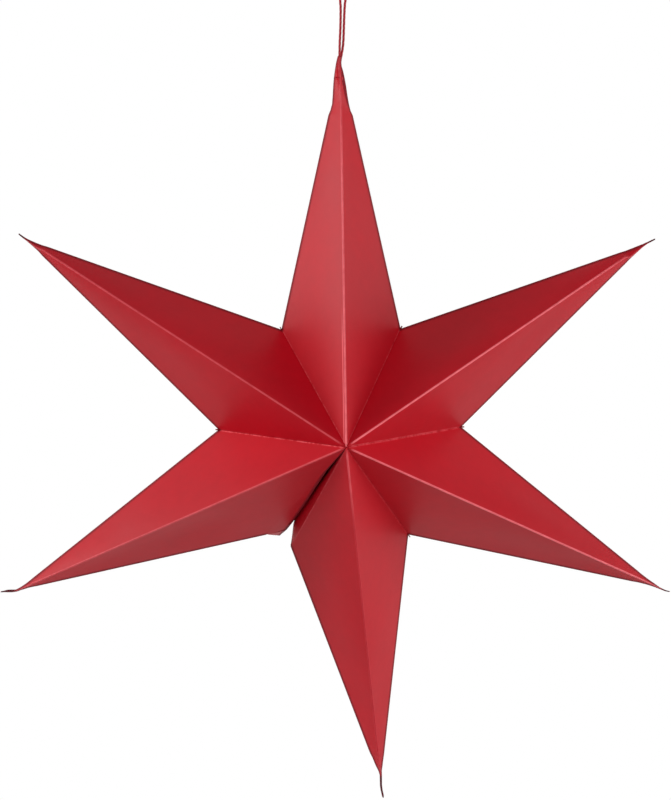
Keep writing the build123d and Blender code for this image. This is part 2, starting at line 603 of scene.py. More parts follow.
@dataclass(frozen=True)
class RolledTip:
    """The end of the top point, rolled around the cord and open along its right side.

    All stops are along the point's middle line, from the star's axis outwards.
    """

    left: Stops
    right: Stops
    free_edge: Stops       # sideways place of the front panel's edge along the open side
    half_depth: Stops
    roundness: Stops       # 1 for four flat panels and 2 for an ellipse
    bulge: Stops           # how far the front stands out over the knot, and its small cross fold
    open_from: float       # where the open side starts
    edge_sink: float = 0.45     # how deep the free front edge sinks, as a share of its gap
    bulge_spread: float = 1.4
    rim_wave: float = 0.5       # height of the mouth's unevenness
    rim_turns: tuple[float, float] = (3.1, 2.3)     # how fast it changes sideways and in depth
    rim_reach: float = 4.0
    dark_length: float = 0.0
    dark_fade: float = 4.0
    row_length: float = 0.55
    blend_length: float = 5.0

    @property
    def start(self) -> float:
        """Where the tip leaves the even shape of the point."""
        return self.left[0][0]

    @property
    def end(self) -> float:
        """The rim of the mouth."""
        return self.left[-1][0]

    def shape(self, across: float, deep: float, along: float) -> Vector:
        """A place of the rolled tip.

        Args:
            across: Sideways place in the section, from -1 at the left side edge to 1 at the right.
            deep: Place in the section from -1 at the front ridge to 1 at the back ridge.
            along: Place along the middle line.

        Returns:
            The place in the point's own frame.
        """
        left, right = read_stops(self.left, along), read_stops(self.right, along)
        power = read_stops(self.roundness, along)
        reach = (abs(across) ** power + abs(deep) ** power) ** (1 / power)
        grow = (abs(across) + abs(deep)) / max(reach, 1e-6)
        across, deep = across * grow, deep * grow
        side = (left + right) / 2 + across * (right - left) / 2
        depth = deep * read_stops(self.half_depth, along)
        if deep < 0:
            middle = (left + right) / 2
            if side > middle:
                gap = right - min(right, read_stops(self.free_edge, along))
                share = (side - middle) / (right - middle)
                side -= gap * share
                depth -= self.edge_sink * gap * share * share
            depth -= read_stops(self.bulge, along) * smooth(-deep * self.bulge_spread)
        wave = self.rim_wave * math.sin(self.rim_turns[0] * across + self.rim_turns[1] * deep)
        rim = wave * smooth((along - self.end + self.rim_reach) / self.rim_reach)
        return Vector((side, depth, along + rim))


# Width of a flap at each share of the way from the star's centre to the notch
FLAP_OUTLINE: Stops = ((0, 1.2), (0.06, 1.6), (0.80, 11.0), (0.91, 7.5), (0.97, 1.6), (1, 0.1))
NOT_BESIDE_MM = 99.0    # stands for the distance to a fold that isn't beside the place
BEYOND_WEAR_MM = 9.0    # a distance from a fold or an edge at which no wear shows
DISTANCE_LAYERS = ("ridge_mm", "edge_mm", "valley_mm")
SHEET_LAYERS = (*DISTANCE_LAYERS, "ridge_wear_and_highlight", "twin_highlight", "valley_wear", "tail")


@dataclass(frozen=True)
class Column:
    """One line of the sheet that runs from the star's middle to the tip.

    A column is either on the rounding of a crease or on a flat panel between two creases.
    """

    crease: Crease
    turn: float            # share of the way round the crease, or across the panel
    on_panel: bool


Folds = dict[Crease, Sequence[Vector]]


@dataclass
class FoldedPoint:
    """One folded sheet: four panels, four rounded folds, glue flaps and a tip."""

    name: str
    angle: float           # of its middle line, in degrees clockwise from the top
    apex_radius: float     # where its four panels would meet
    left: Notch
    right: Notch
    tip: PinchedTip | RolledTip
    sizes: StarSizes
    open_side: OpenSide = OpenSide.NONE
    free_fold: float = 0.0     # degrees by which the free flaps are folded in
    free_slip: float = 0.0     # how far their corner leans out along the valley
    slip_from: float = 0.9     # share of the valley from which it leans
    free_curl: float = 0.0     # degrees by which they curl on
    corner_bend: float = 12.0
    ridge_start: float = 0.5
    # how worn the ridges are and how strong their painted highlight is, by distance from the axis
    ridge_wear_and_highlight: Stops = ((2.5, 0.0), (6.5, 0.6))
    # strength of the painted second-crease highlight, by distance from the axis
    twin_highlight: Stops = ((0.0, 0.0), (1.0, 0.0))
    bow: tuple[float, float, float, float] = (0.0, 0.0, 0.0, 0.0)
    seed: float = 0.0
    panel_columns: int = 28
    column_crowding: float = 0.143     # how much closer the columns stand beside the folds
    crease_columns: int = 6
    least_half_width: float = 0.05
    least_scale: float = 0.004
    rows: int = 84
    fold_rows: int = 4
    flap_rows: int = 6
    glued_outline: Stops = FLAP_OUTLINE
    free_outline: Stops = FLAP_OUTLINE

    def corner(self, crease: Crease) -> Vector:
        """Where a crease's sharp edge starts.

        Args:
            crease: The crease.

        Returns:
            The place in the point's own frame.
        """
        if crease is Crease.BACK:
            return Vector((0, self.sizes.half_depth, 0))
        if crease is Crease.FRONT:
            return Vector((0, -self.sizes.half_depth, 0))
        notch, side = (self.right, 1) if crease is Crease.RIGHT else (self.left, -1)
        turn = self.half_turn(side)
        return Vector((side * notch.radius * math.sin(turn), 0, notch.radius * math.cos(turn)))

    def half_turn(self, side: int) -> float:
        """Angle in radians from the middle line to the right (1) or left (-1) notch."""
        notch = self.right if side > 0 else self.left
        return math.radians(side * (notch.angle - self.angle))

    def apex(self) -> Vector:
        """Where all four panels would meet."""
        return Vector((0, 0, self.apex_radius))

    def panel_normal(self, crease: Crease) -> Vector:
        """Outer normal of a panel.

        Args:
            crease: The crease that the panel follows in the sheet.

        Returns:
            The normal.
        """
        first, second = self.corner(crease), self.corner(crease.following)
        normal = (second - first).cross(self.apex() - first).normalized()
        return normal if normal.dot(first + second) > 0 else -normal

    def columns(self) -> list[Column]:
        """Lays out the sheet's columns.

        Returns:
            All columns, once round from the back crease.
        """
        made: list[Column] = []
        for crease in Crease:
            for step in range(self.crease_columns + 1):
                made.append(Column(crease, step / self.crease_columns, False))
            for step in range(1, self.panel_columns):
                share = step / self.panel_columns
                crowded = share - self.column_crowding * math.sin(math.tau * share)
                made.append(Column(crease, crowded, True))
        return made

    def fold_radius(self, scale: float) -> float:
        """Outer radius of a fold where the section has a given scale, smaller near the tip."""
        half_width = max(self.corner(Crease.RIGHT).x * scale, self.least_half_width)
        return min(self.sizes.ridge_radius, self.sizes.tip_fold_share * half_width)

    def on_crease(self, crease: Crease, turn: float, scale: float) -> tuple[Vector, Vector]:
        """A place on the rounding of a crease.

        Args:
            crease: The crease.
            turn: Share of the way round the fold.
            scale: 1 at the star's middle and 0 where the panels meet.

        Returns:
            The place and its outer normal.
        """
        radius = self.fold_radius(scale)
        before, after = self.panel_normal(crease.leading), self.panel_normal(crease)
        middle = (before + after).normalized()
        normal = before.slerp(after, turn)
        edge = self.apex() + (self.corner(crease) - self.apex()) * scale
        return edge - middle * (radius / middle.dot(after)) + normal * radius, normal

    def place(self, column: Column, scale: float) -> tuple[Vector, Vector]:
        """A place on the outer face of the sheet before any unevenness.

        Args:
            column: The column.
            scale: 1 at the star's middle and 0 where the panels meet.

        Returns:
            The place and its outer normal.
        """
        if not column.on_panel:
            return self.on_crease(column.crease, column.turn, scale)
        first, normal = self.on_crease(column.crease, 1.0, scale)
        second, _ = self.on_crease(column.crease.following, 0.0, scale)
        return first.lerp(second, column.turn), normal

    def side_of(self, column: Column) -> int:
        """1 for a column of the two right panels and -1 for one of the two left panels."""
        return 1 if column.crease in (Crease.BACK, Crease.RIGHT) else -1

    def valley(self, column: Column) -> tuple[Vector, Vector, Vector, Vector]:
        """The fold between a panel and its flap.

        Args:
            column: A column on the panel.

        Returns:
            The valley's start at the star's middle, its direction to the notch, the direction in
            which the panel would run on past it, and the panel's outer normal.
        """
        ends = (column.crease, column.crease.following)
        centre = next(self.corner(c) for c in ends if c in (Crease.FRONT, Crease.BACK))
        notch = next(self.corner(c) for c in ends if c in (Crease.RIGHT, Crease.LEFT))
        along = (notch - centre).normalized()
        normal = self.panel_normal(column.crease)
        onward = along.cross(normal)
        if onward.dot(self.apex() - centre) > 0:
            onward = -onward
        return centre, along, onward, normal

    def valley_length(self, column: Column) -> float:
        """Length of a panel's valley from the star's centre to the notch."""
        notch = self.right if self.side_of(column) > 0 else self.left
        return math.hypot(notch.radius, self.sizes.half_depth)

    def is_free(self, column: Column) -> bool:
        """Whether the flap of a panel column is one of the free ones."""
        return self.open_side.value == self.side_of(column)

    def glue_normal(self, side: int) -> Vector:
        """Normal of the plane of the glued flaps on one side, away from the point."""
        turn = self.half_turn(side)
        return Vector((side * math.cos(turn), 0, -math.sin(turn)))

    def fold_angle(self, column: Column) -> float:
        """How far a flap is turned in from the plane of its panel.

        Args:
            column: A column on the panel.

        Returns:
            The angle in radians.
        """
        if self.is_free(column):
            return math.radians(self.free_fold)
        return self.valley(column)[3].angle(self.glue_normal(self.side_of(column)))

    def room(self, column: Column, scale: float) -> float:
        """Distance left before a column reaches its valley, glue plane or the centre's hole.

        Args:
            column: The column.
            scale: 1 at the star's middle and 0 where the panels meet.

        Returns:
            Millimetres, negative past that place.
        """
        spot, _ = self.place(column, scale)
        if column.on_panel:
            centre, _, onward, _ = self.valley(column)
            setback = self.sizes.valley_radius * math.tan(self.fold_angle(column) / 2)
            found = -(spot - centre).dot(onward) - setback
        else:
            inside = min(-spot.dot(self.glue_normal(side)) for side in (1, -1))
            found = inside + self.sizes.glue_overlap
        hole = self.sizes.back_hole_radius if spot.y > 0 else self.ridge_start
        return min(found, math.hypot(spot.x, spot.z) - hole)

    def start_scale(self, column: Column) -> float:
        """Finds where a column leaves the star's middle, by halving a range.

        Args:
            column: The column.

        Returns:
            The scale there.
        """
        low, high, halvings = 0.5, 1.05, 40
        for _ in range(halvings):
            middle = (low + high) / 2
            if self.room(column, middle) > 0:
                low = middle
            else:
                high = middle
        return low

    def uneven(self, column: Column, share: float, spot: Vector, normal: Vector) -> Vector:
        """Bow and slight waves of a panel.

        Args:
            column: The column.
            share: Share of the way from the star's middle to the tip.
            spot: The even place.
            normal: Its outer normal.

        Returns:
            The place after the panel's bow and waves.
        """
        if not column.on_panel:
            return spot
        hold = math.sin(math.pi * column.turn) * math.sin(math.pi * share)
        wave = noise.noise(spot * self.sizes.waves_per_mm + Vector((self.seed, 0, 0)))
        height = self.bow[column.crease.value] + wave * self.sizes.wave_height
        return spot + normal * height * hold

    def scale_at(self, column: Column, along: float) -> float:
        """Scale at which a column reaches a place along the point's middle line.

        Args:
            column: The column.
            along: The place along the middle line.

        Returns:
            The scale, which stays above 0 past the panels' meeting place.
        """
        far = 0.1
        inner, outer = self.place(column, 1.0)[0].z, self.place(column, far)[0].z
        return max(1 - (1 - far) * (along - inner) / (outer - inner), self.least_scale)

    def line_spots(self, column: Column, start: float) -> list[Vector]:
        """The places of a column from the star's middle to the end of its tip.

        Args:
            column: The column.
            start: The scale at which it starts.

        Returns:
            The places on the even part, then those of the tip.
        """
        end = self.scale_at(column, self.tip.start)
        spots = []
        for row in range(self.rows + 1):
            share = row / self.rows
            spot, normal = self.place(column, start + (end - start) * share)
            spots.append(self.uneven(column, share, spot, normal))
        last = spots.pop()
        run = self.apex_radius - self.tip.start
        corner = self.corner(Crease.RIGHT if last.x > 0 else Crease.LEFT)
        across = last.x / (abs(corner.x) / (self.apex_radius - corner.z) * run)
        deep = last.y / (self.sizes.half_depth / self.apex_radius * run)
        steps = round((self.tip.end - self.tip.start) / self.tip.row_length)
        for step in range(steps + 1):
            along = self.tip.start + (self.tip.end - self.tip.start) * step / steps
            even, _ = self.place(column, self.scale_at(column, along))
            share = smooth((along - self.tip.start) / self.tip.blend_length)
            spots.append(even.lerp(self.tip.shape(across, deep, along), share))
        return spots

    def flap_spots(self, column: Column, foot: Vector) -> list[Vector]:
        """Places of a panel column's fold and flap, from the flap's free edge to the panel.

        Args:
            column: The column.
            foot: Where the column's fold ends and its panel starts.

        Returns:
            The places in order, without the foot itself.
        """
        centre, along, onward, normal = self.valley(column)
        radius = self.sizes.valley_radius
        turn = self.fold_angle(column)
        axis = foot - normal * radius
        steps = (turn * step / self.fold_rows for step in range(1, self.fold_rows + 1))
        fold = [axis + (normal * math.cos(a) + onward * math.sin(a)) * radius for a in steps]
        share = (foot - centre).dot(along) / self.valley_length(column)
        outline, curl, slip = self.glued_outline, 0.0, 0.0
        if self.is_free(column):
            outline, curl = self.free_outline, math.radians(self.free_curl)
            slip = self.free_slip * smooth((share - self.slip_from) / (1 - self.slip_from))
        setback = radius * math.tan(turn / 2)
        width = max(read_stops(outline, share) - setback, self.sizes.least_flap)
        for step in range(1, self.flap_rows + 1):
            bent = turn + curl * (step / self.flap_rows) ** 2
            across = onward * math.cos(bent) - normal * math.sin(bent)
            fold.append(fold[-1] + (across * width + along * slip) / self.flap_rows)
        if self.is_free(column):
            fold = [self.past_edge(column, spot) for spot in fold]
        return fold[::-1]

    def past_edge(self, column: Column, spot: Vector) -> Vector:
        """Bends the corner of a free flap where it runs past the line of the side edge.

        Args:
            column: The flap's column.
            spot: A place of the flap.

        Returns:
            The place bent back on the front, and held at the side edge's line on the back.
        """
        _, along, _, normal = self.valley(column)
        notch = self.corner(Crease.RIGHT if self.side_of(column) > 0 else Crease.LEFT)
        beyond = normal.cross(notch - self.apex()).normalized()
        if beyond.dot(along) < 0:
            beyond = -beyond
        over = (spot - notch).dot(beyond)
        if over <= 0:
            return spot
        if Crease.BACK in (column.crease, column.crease.following):
            return spot - beyond * over
        bend = math.radians(self.corner_bend)
        return spot + (beyond * (math.cos(bend) - 1) - normal * math.sin(bend)) * over

    def fold_distance(
        self,
        column: Column,
        spots: Sequence[Vector],
        row: int,
        crease: Crease,
        line: Sequence[Vector],
    ) -> float:
        """Distance in millimetres from a place to one of the folds beside it.

        Args:
            column: The column of the place.
            spots: The places of its column.
            row: Number of the place in its column.
            crease: The fold that is asked for.
            line: The places of that fold.

        Returns:
            The distance, 0 on the fold itself and very large where the fold isn't beside the column.
        """
        if column.crease is crease and not column.on_panel:
            return 0.0
        if not column.on_panel or crease not in (column.crease, column.crease.following):
            return NOT_BESIDE_MM
        if row >= self.rows:
            return (spots[row] - line[row]).length
        corner = self.corner(crease)
        direction = (self.apex() - corner).normalized()
        away = (spots[row] - corner).cross(direction).length
        return max(away - self.sizes.fold_flat, 0.0)

    def valley_distance(self, column: Column, spot: Vector) -> float:
        """Distance from a place to the valley of its panel.

        Args:
            column: The column of the place.
            spot: The place.

        Returns:
            Millimetres, beyond all wear where the column isn't on a panel.
        """
        if not column.on_panel:
            return BEYOND_WEAR_MM
        centre, _, onward, _ = self.valley(column)
        return abs((spot - centre).dot(onward))

    def valley_wear(self, column: Column) -> float:
        """How worn the valley of a column's panel is."""
        return self.right.wear_before if self.side_of(column) > 0 else self.left.wear_after

    def open_rows(self, one: Column, two: Column) -> bool:
        """Whether the sheet is slit between two columns where its tip is open.

        Args:
            one: A column.
            two: The column after it.

        Returns:
            True in the middle of the right crease of a rolled tip.
        """
        middle = 0.5
        same = one.crease is two.crease is Crease.RIGHT and not one.on_panel and not two.on_panel
        return isinstance(self.tip, RolledTip) and same and one.turn < middle <= two.turn

    def marks(
        self, column: Column, spots: Sequence[Vector], row: int, folds: Folds
    ) -> dict[str, float]:
        """What the card's finish reads at a place of the sheet.

        Args:
            column: The column of the place.
            spots: The places of its column.
            row: Number of the place in its column.
            folds: The places of the four folds.

        Returns:
            Distances from folds and edges in millimetres, the wear and painted highlight of the folds
            there, and how dark the end of the tail is, by the names of the sheet's layers.
        """
        spot = spots[row]
        reach = math.hypot(spot.x, spot.z)
        away = {c: self.fold_distance(column, spots, row, c, folds[c]) for c in Crease}
        left_front = column.crease is Crease.FRONT and column.on_panel
        dark_from = self.tip.end - self.tip.dark_length
        return {
            "ridge_mm": min(away[Crease.FRONT], away[Crease.BACK]),
            # distance to the side folds, where painted shade is laid
            "edge_mm": min(away[Crease.LEFT], away[Crease.RIGHT]),
            "valley_mm": self.valley_distance(column, spot),
            "ridge_wear_and_highlight": read_stops(self.ridge_wear_and_highlight, reach),
            "twin_highlight": read_stops(self.twin_highlight, reach) if left_front else 0.0,
            "valley_wear": self.valley_wear(column),
            "tail": smooth((reach - dark_from) / self.tip.dark_fade),
        }

    def build(self) -> bpy.types.Object:
        """Builds the sheet in place on the star.

        Returns:
            The new object, with its thickness, its fold distances, its wear and its painted
            highlights.
        """
        sheet = bmesh.new()
        layers = {name: sheet.verts.layers.float.new(name) for name in SHEET_LAYERS}
        columns = self.columns()
        spots = [self.line_spots(column, self.start_scale(column)) for column in columns]
        folds = {c: spots[columns.index(Column(c, 0.5, False))] for c in Crease}
        lines: list[list[bmesh.types.BMVert | None]] = []
        for column, run in zip(columns, spots):
            line: list[bmesh.types.BMVert | None] = [None] * (self.fold_rows + self.flap_rows)
            if column.on_panel:
                line = [sheet.verts.new(self.to_star(s)) for s in self.flap_spots(column, run[0])]
                for vert in line:
                    for name in DISTANCE_LAYERS:
                        vert[layers[name]] = BEYOND_WEAR_MM
                    # a free flap measures from its own rim, so painted shade darkens that rim as if it
                    # lay in shadow
                    if self.is_free(column):
                        vert[layers["edge_mm"]] = (vert.co - line[0].co).length / MM
            for row, spot in enumerate(run):
                vert = sheet.verts.new(self.to_star(spot))
                for name, value in self.marks(column, run, row, folds).items():
                    vert[layers[name]] = value
                line.append(vert)
            lines.append(line)
        self.skin(sheet, columns, lines)
        for side in (1, -1):
            if side * self.open_side.value <= 0:
                self.add_tab(sheet, side)
        made = smooth_object(self.name, sheet)
        wall = made.modifiers.new("card", "SOLIDIFY")
        wall.thickness = self.sizes.card * MM
        wall.offset = -1.0
        wall.use_even_offset = True
        return made

    def skin(
        self,
        sheet: bmesh.types.BMesh,
        columns: list[Column],
        lines: list[list[bmesh.types.BMVert | None]],
    ) -> None:
        """Fills the faces between neighbouring columns and closes a pinched tip.

        Args:
            sheet: The mesh.
            columns: The columns in order.
            lines: The vertices of each column, from the flap's edge to the tip.
        """
        count = len(lines)
        slit = len(lines[0])
        if isinstance(self.tip, RolledTip):
            left_over = (self.tip.end - self.tip.open_from) / self.tip.row_length
            slit = len(lines[0]) - 1 - round(left_over)
        for here in range(count):
            after = (here + 1) % count
            one, two = lines[here], lines[after]
            for row in range(len(one) - 1):
                corners = [one[row], one[row + 1], two[row + 1], two[row]]
                opened = row >= slit and self.open_rows(columns[here], columns[after])
                if None not in corners and not opened:
                    sheet.faces.new(corners)
        if isinstance(self.tip, PinchedTip):
            sheet.faces.new([line[-1] for line in reversed(lines)])

    def add_tab(self, sheet: bmesh.types.BMesh, side: int) -> None:
        """Adds the little tab of the flaps that stands out of a notch.

        Args:
            sheet: The mesh.
            side: 1 for the right notch and -1 for the left one.
        """
        turn = self.half_turn(side)
        notch = self.right if side > 0 else self.left
        outward = Vector((side * math.sin(turn), 0, math.cos(turn)))
        half, root, cut = self.sizes.tab_depth / 2, 3, 1
        end = notch.radius + self.sizes.tab_length
        outline = [(notch.radius - root, -half), (end - cut, -half), (end, -half + cut)]
        outline += [(run, -deep) for run, deep in reversed(outline)]
        spots = [outward * run + Vector((0, deep, 0)) for run, deep in outline]
        verts = [sheet.verts.new(self.to_star(spot)) for spot in spots]
        face = sheet.faces.new(verts)
        face.normal_update()
        wanted = self.to_star(self.glue_normal(side) + outward) - self.to_star(outward)
        if face.normal.dot(wanted) < 0:
            face.normal_flip()

    def to_star(self, spot: Vector) -> Vector:
        """Brings a place of the point's own frame onto the hanging star.

        Args:
            spot: The place, in millimetres.

        Returns:
            The place on the star, in metres.
        """
        angle = math.radians(self.angle)
        turned = Vector(
            (
                spot.x * math.cos(angle) + spot.z * math.sin(angle),
                spot.y,
                -spot.x * math.sin(angle) + spot.z * math.cos(angle),
            )
        )
        return (turned + Vector((0, 0, self.sizes.centre_height))) * MM


@dataclass
class PaperRing:
    """The six points of the star in ring order, from one side of the open seam to the other."""

    sizes: StarSizes
    # clockwise from the free edge of the lower left point to that of the bottom point
    notches: tuple[Notch, ...] = (
        Notch(-143.55, 101.0, 0.0, 0.0),
        Notch(-87.46, 98.4, 0.8, 0.1),
        Notch(-29.33, 97.6, 0.0, 0.4),
        Notch(29.21, 98.6, 0.35, 0.0),
        Notch(86.25, 98.2, 0.7, 0.5),
        Notch(145.69, 98.7, 0.1, 0.3),
        Notch(203.95, 99.2, 0.2, 0.0),
    )

    def lower_left(self) -> FoldedPoint:
        """The point whose flap lies open and flat along the seam.

        Returns:
            The point between its notches.
        """
        return FoldedPoint(
            "sheet_lower_left", -115.77, 289.8, *self.notches[0:2], sizes=self.sizes,
            tip=PinchedTip(
                half_width=((272, 3.9), (280, 2.1), (286, 1.2), (289.5, 1.0), (293, 1.3),
                            (296, 1.2), (298, 0.75), (301, 0.5)),
                side=((284, 0), (289.5, 0.2), (292.7, 1.5), (295.6, 2.8), (301, 4.7)),
                half_depth=((272, 5.5), (286, 2.3), (301, 1.1)),
            ),
            open_side=OpenSide.LEFT, free_fold=2.0, free_slip=6.5,
            ridge_wear_and_highlight=((2.0, 0.0), (5.0, 0.45)), bow=(0.0, 0.6, -0.5, 0.0), seed=1.3,
            free_outline=((0, 0.4), (0.1, 0.8), (0.252, 1.6), (0.436, 5.5), (0.634, 10.0),
                          (0.805, 13.0), (0.92, 14.1), (0.965, 15.2), (1, 16.3)),
        )

    def upper_left(self) -> FoldedPoint:
        """The sharpest point.

        Returns:
            The point between its notches.
        """
        return FoldedPoint(
            "sheet_upper_left", -58.05, 296.0, *self.notches[1:3], sizes=self.sizes,
            tip=PinchedTip(
                half_width=((276, 4.0), (286, 2.0), (293, 0.9), (297, 0.6), (301.2, 0.35)),
                side=((290, 0), (296, 0.2), (301.2, 0.8)),
                half_depth=((276, 6.0), (290, 2.6), (301.2, 0.8)),
                ridge_lean=((270, 0), (285, -1.1), (296, -0.5)),
                dark_length=7.0,
            ),
            ridge_wear_and_highlight=((4.0, 0.0), (8.0, 0.4)), bow=(0.0, 0.4, 0.7, 0.0), seed=7.1,
        )

    def top(self) -> FoldedPoint:
        """The point that hangs from the cord.

        Returns:
            The point between its notches.
        """
        return FoldedPoint(
            "sheet_top", -0.25, 298.7, *self.notches[2:4], sizes=self.sizes,
            tip=RolledTip(
                left=((254, -9.3), (257.2, -8.5), (263.5, -6.75), (270.2, -6.2), (278.4, -5.7),
                      (284.6, -5.15), (289.3, -4.5), (293.2, -3.9), (296.3, -3.35), (300.4, -2.3)),
                right=((254, 9.3), (257.2, 8.5), (263.5, 6.9), (270.2, 5.7), (278.4, 4.45),
                       (284.6, 3.25), (289.3, 2.2), (293.2, 1.0), (296.3, 0.8), (300.4, 1.4)),
                free_edge=((259, 9.0), (261.3, 6.9), (264.4, 5.3), (271.4, 3.3), (276.9, 2.2),
                           (280.8, 1.3), (285, 0.8), (290.4, 0.65), (296.3, 0.8), (300.4, 1.4)),
                half_depth=((254, 13.4), (263, 10.6), (272, 7.6), (280, 5.3), (285, 4.4),
                            (290, 3.2), (296, 2.6), (300.4, 2.5)),
                roundness=((256, 1.0), (272, 1.15), (283, 1.6), (290, 2.0), (300.4, 2.2)),
                bulge=((278, 0), (282.2, 0.2), (283.1, -0.8), (284.2, 0.8), (286, 1.1),
                       (290, 0.3), (294, 0)),
                open_from=259.0,
            ),
            ridge_start=0.3, ridge_wear_and_highlight=((0.0, 0.8), (95, 0.7), (200, 0.7), (262, 0.3)),
            twin_highlight=((1.0, 0.0), (3.0, 0.7), (80, 0.6), (105, 0.0)),
            bow=(0.0, -0.5, 0.5, 0.0), seed=12.9,
        )

    def upper_right(self) -> FoldedPoint:
        """The point whose ridge runs out to its lower edge near the tip.

        Returns:
            The point between its notches.
        """
        return FoldedPoint(
            "sheet_upper_right", 57.76, 291.0, *self.notches[3:5], sizes=self.sizes,
            tip=PinchedTip(
                half_width=((268, 4.9), (280, 2.5), (288, 1.0), (292, 0.65), (298.6, 0.45)),
                side=((286, 0), (291, 0.2), (298.6, 0.9)),
                half_depth=((268, 6.6), (284, 2.8), (298.6, 0.9)),
                ridge_lean=((252, 0), (262, 0.8), (272, 2.4), (282, 1.6), (291, 0.4)),
                dark_length=7.0,
            ),
            ridge_wear_and_highlight=((4.0, 0.0), (7.0, 1.0), (240, 0.9), (275, 0.25)),
            bow=(0.0, 0.5, 0.6, 0.0), seed=21.7,
        )

    def lower_right(self) -> FoldedPoint:
        """The point with a small hook at the end of its tail.

        Returns:
            The point between its notches.
        """
        return FoldedPoint(
            "sheet_lower_right", 115.66, 290.2, *self.notches[4:6], sizes=self.sizes,
            tip=PinchedTip(
                half_width=((268, 5.0), (280, 2.4), (288, 1.2), (292, 0.7), (300.4, 0.45)),
                side=((286, 0), (292, 0.3), (297, 0.1), (300.4, -0.7)),
                half_depth=((268, 6.6), (284, 2.9), (300.4, 1.0)),
                dark_length=8.0,
            ),
            ridge_wear_and_highlight=((4.0, 0.0), (6.5, 0.95)), bow=(0.0, -0.4, 0.7, 0.0), seed=33.2,
        )

    def bottom(self) -> FoldedPoint:
        """The point with the long tail and the folded free flap.

        Returns:
            The point between its notches.
        """
        return FoldedPoint(
            "sheet_bottom", 173.13, 289.6, *self.notches[5:7], sizes=self.sizes,
            tip=PinchedTip(
                half_width=((262, 6.4), (275.4, 2.75), (279.4, 1.45), (283, 1.0), (292, 0.9),
                            (301, 0.8), (302.2, 0.4)),
                side=((272, 0), (283, -0.5), (287, -0.1), (291.4, 0.35), (295.7, 0.3),
                      (299.2, -0.1), (302.2, -0.3)),
                half_depth=((262, 8.3), (280, 3.0), (302.2, 1.1)),
                dark_length=20.0,
            ),
            open_side=OpenSide.RIGHT, free_fold=20.0, free_curl=40.0,
            ridge_wear_and_highlight=((2.0, 0.0), (6.0, 0.5), (38, 0.4), (60, 0.12)),
            bow=(0.0, 0.5, 0.4, 0.0), seed=41.9,
            free_outline=((0, 0.8), (0.06, 2.0), (0.6, 14.0), (0.72, 17.5), (0.82, 18.5), (0.89, 16.7),
                          (0.946, 6.8), (0.978, 2.3), (1, 0.6)),
        )

    def points(self) -> list[FoldedPoint]:
        """Lays out the ring.

        Returns:
            All points clockwise, from the lower left one to the bottom one.
        """
        return [
            self.lower_left(),
            self.upper_left(),
            self.top(),
            self.upper_right(),
            self.lower_right(),
            self.bottom(),
        ]


@dataclass
class HangingCord:
    """The doubled cord from the knot up over the hook and back down to the knot."""

    diameter: float = 2.0
    mouth_height: float = -75.0
    length: float = 184.6
    plies: int = 3
    twist_length: float = 4.2
    groove: float = 0.17   # depth between two plies, as a share of the cord's radius
    ply_roundness: float = 0.7
    around: int = 24
    line_resolution: int = 56

    def route(self) -> list[Point]:
        """Control points of the cord, in metres, from one end to the other.

        Returns:
            Given places: sideways, towards the back, and up from the mouth.
        """
        places = [
            (-2.40, -0.60, -11.56),
            (-2.70, -0.85, -5.78),
            (-1.95, -0.80, 2.5),
            (-1.95, -0.20, 11.0),
            (-1.25, 0.0, 25.0),
            (-1.25, 0.0, 47.0),
            (-8.0, 0.0, 66.0),
            (-5.0, 0.0, 76.0),
            (5.0, 0.0, 76.0),
            (8.0, 0.0, 66.0),
            (2.15, 0.0, 47.0),
            (1.35, 0.0, 25.0),
            (1.05, 0.20, 11.0),
            (-0.25, 0.80, 2.5),
            (-2.10, 0.85, -5.78),
            (-0.90, 0.60, -11.56),
        ]
        mouth = self.mouth_height
        return [(side * MM, deep * MM, (rise + mouth) * MM) for side, deep, rise in places]

    def line(self) -> list[Vector]:
        """Reads the cord's line from a smooth spline through its route.

        Returns:
            Points along the middle of the cord, in order.
        """
        guide = new_spline("cord_line", self.route(), order=3, closed=False)
        guide.data.resolution_u = self.line_resolution
        bpy.context.view_layer.update()
        mesh = bpy.data.meshes.new_from_object(guide)
        line = [vert.co.copy() for vert in mesh.vertices]
        bpy.data.meshes.remove(mesh)
        bpy.data.objects.remove(guide)
        return line

    def build(self, line: list[Vector]) -> bpy.types.Object:
        """Builds the cord as a twist of plies that follows its line.

        Args:
            line: Points along the middle of the cord.

        Returns:
            The new object, with the depth of its grooves stored on it.
        """
        tube = bmesh.new()
        hollow = tube.verts.layers.float.new("hollow")
        across = Vector((0, 1, 0))
        run, rings = 0.0, []
        for index, spot in enumerate(line):
            before, after = line[max(index - 1, 0)], line[min(index + 1, len(line) - 1)]
            along = (after - before).normalized()
            across = (across - along * across.dot(along)).normalized()
            other = along.cross(across)
            run += (spot - before).length / MM
            twist = math.tau * run / self.twist_length / self.plies
            ring = []
            for step in range(self.around):
                angle = math.tau * step / self.around
                ply = abs(math.cos(self.plies / 2 * (angle - twist)))
                depth = self.groove * (1 - ply ** self.ply_roundness)
                radius = self.diameter / 2 * MM * (1 - depth)
                way = across * math.cos(angle) + other * math.sin(angle)
                vert = tube.verts.new(spot + way * radius)
                vert[hollow] = 1 - ply
                ring.append(vert)
            rings.append(ring)
        for one, two in zip(rings, rings[1:]):
            for step in range(self.around):
                after = (step + 1) % self.around
                tube.faces.new((one[step], one[after], two[after], two[step]))
        tube.faces.new(list(reversed(rings[0])))
        tube.faces.new(rings[-1])
        bmesh.ops.recalc_face_normals(tube, faces=tube.faces)
        return smooth_object("cord_strands", tube)


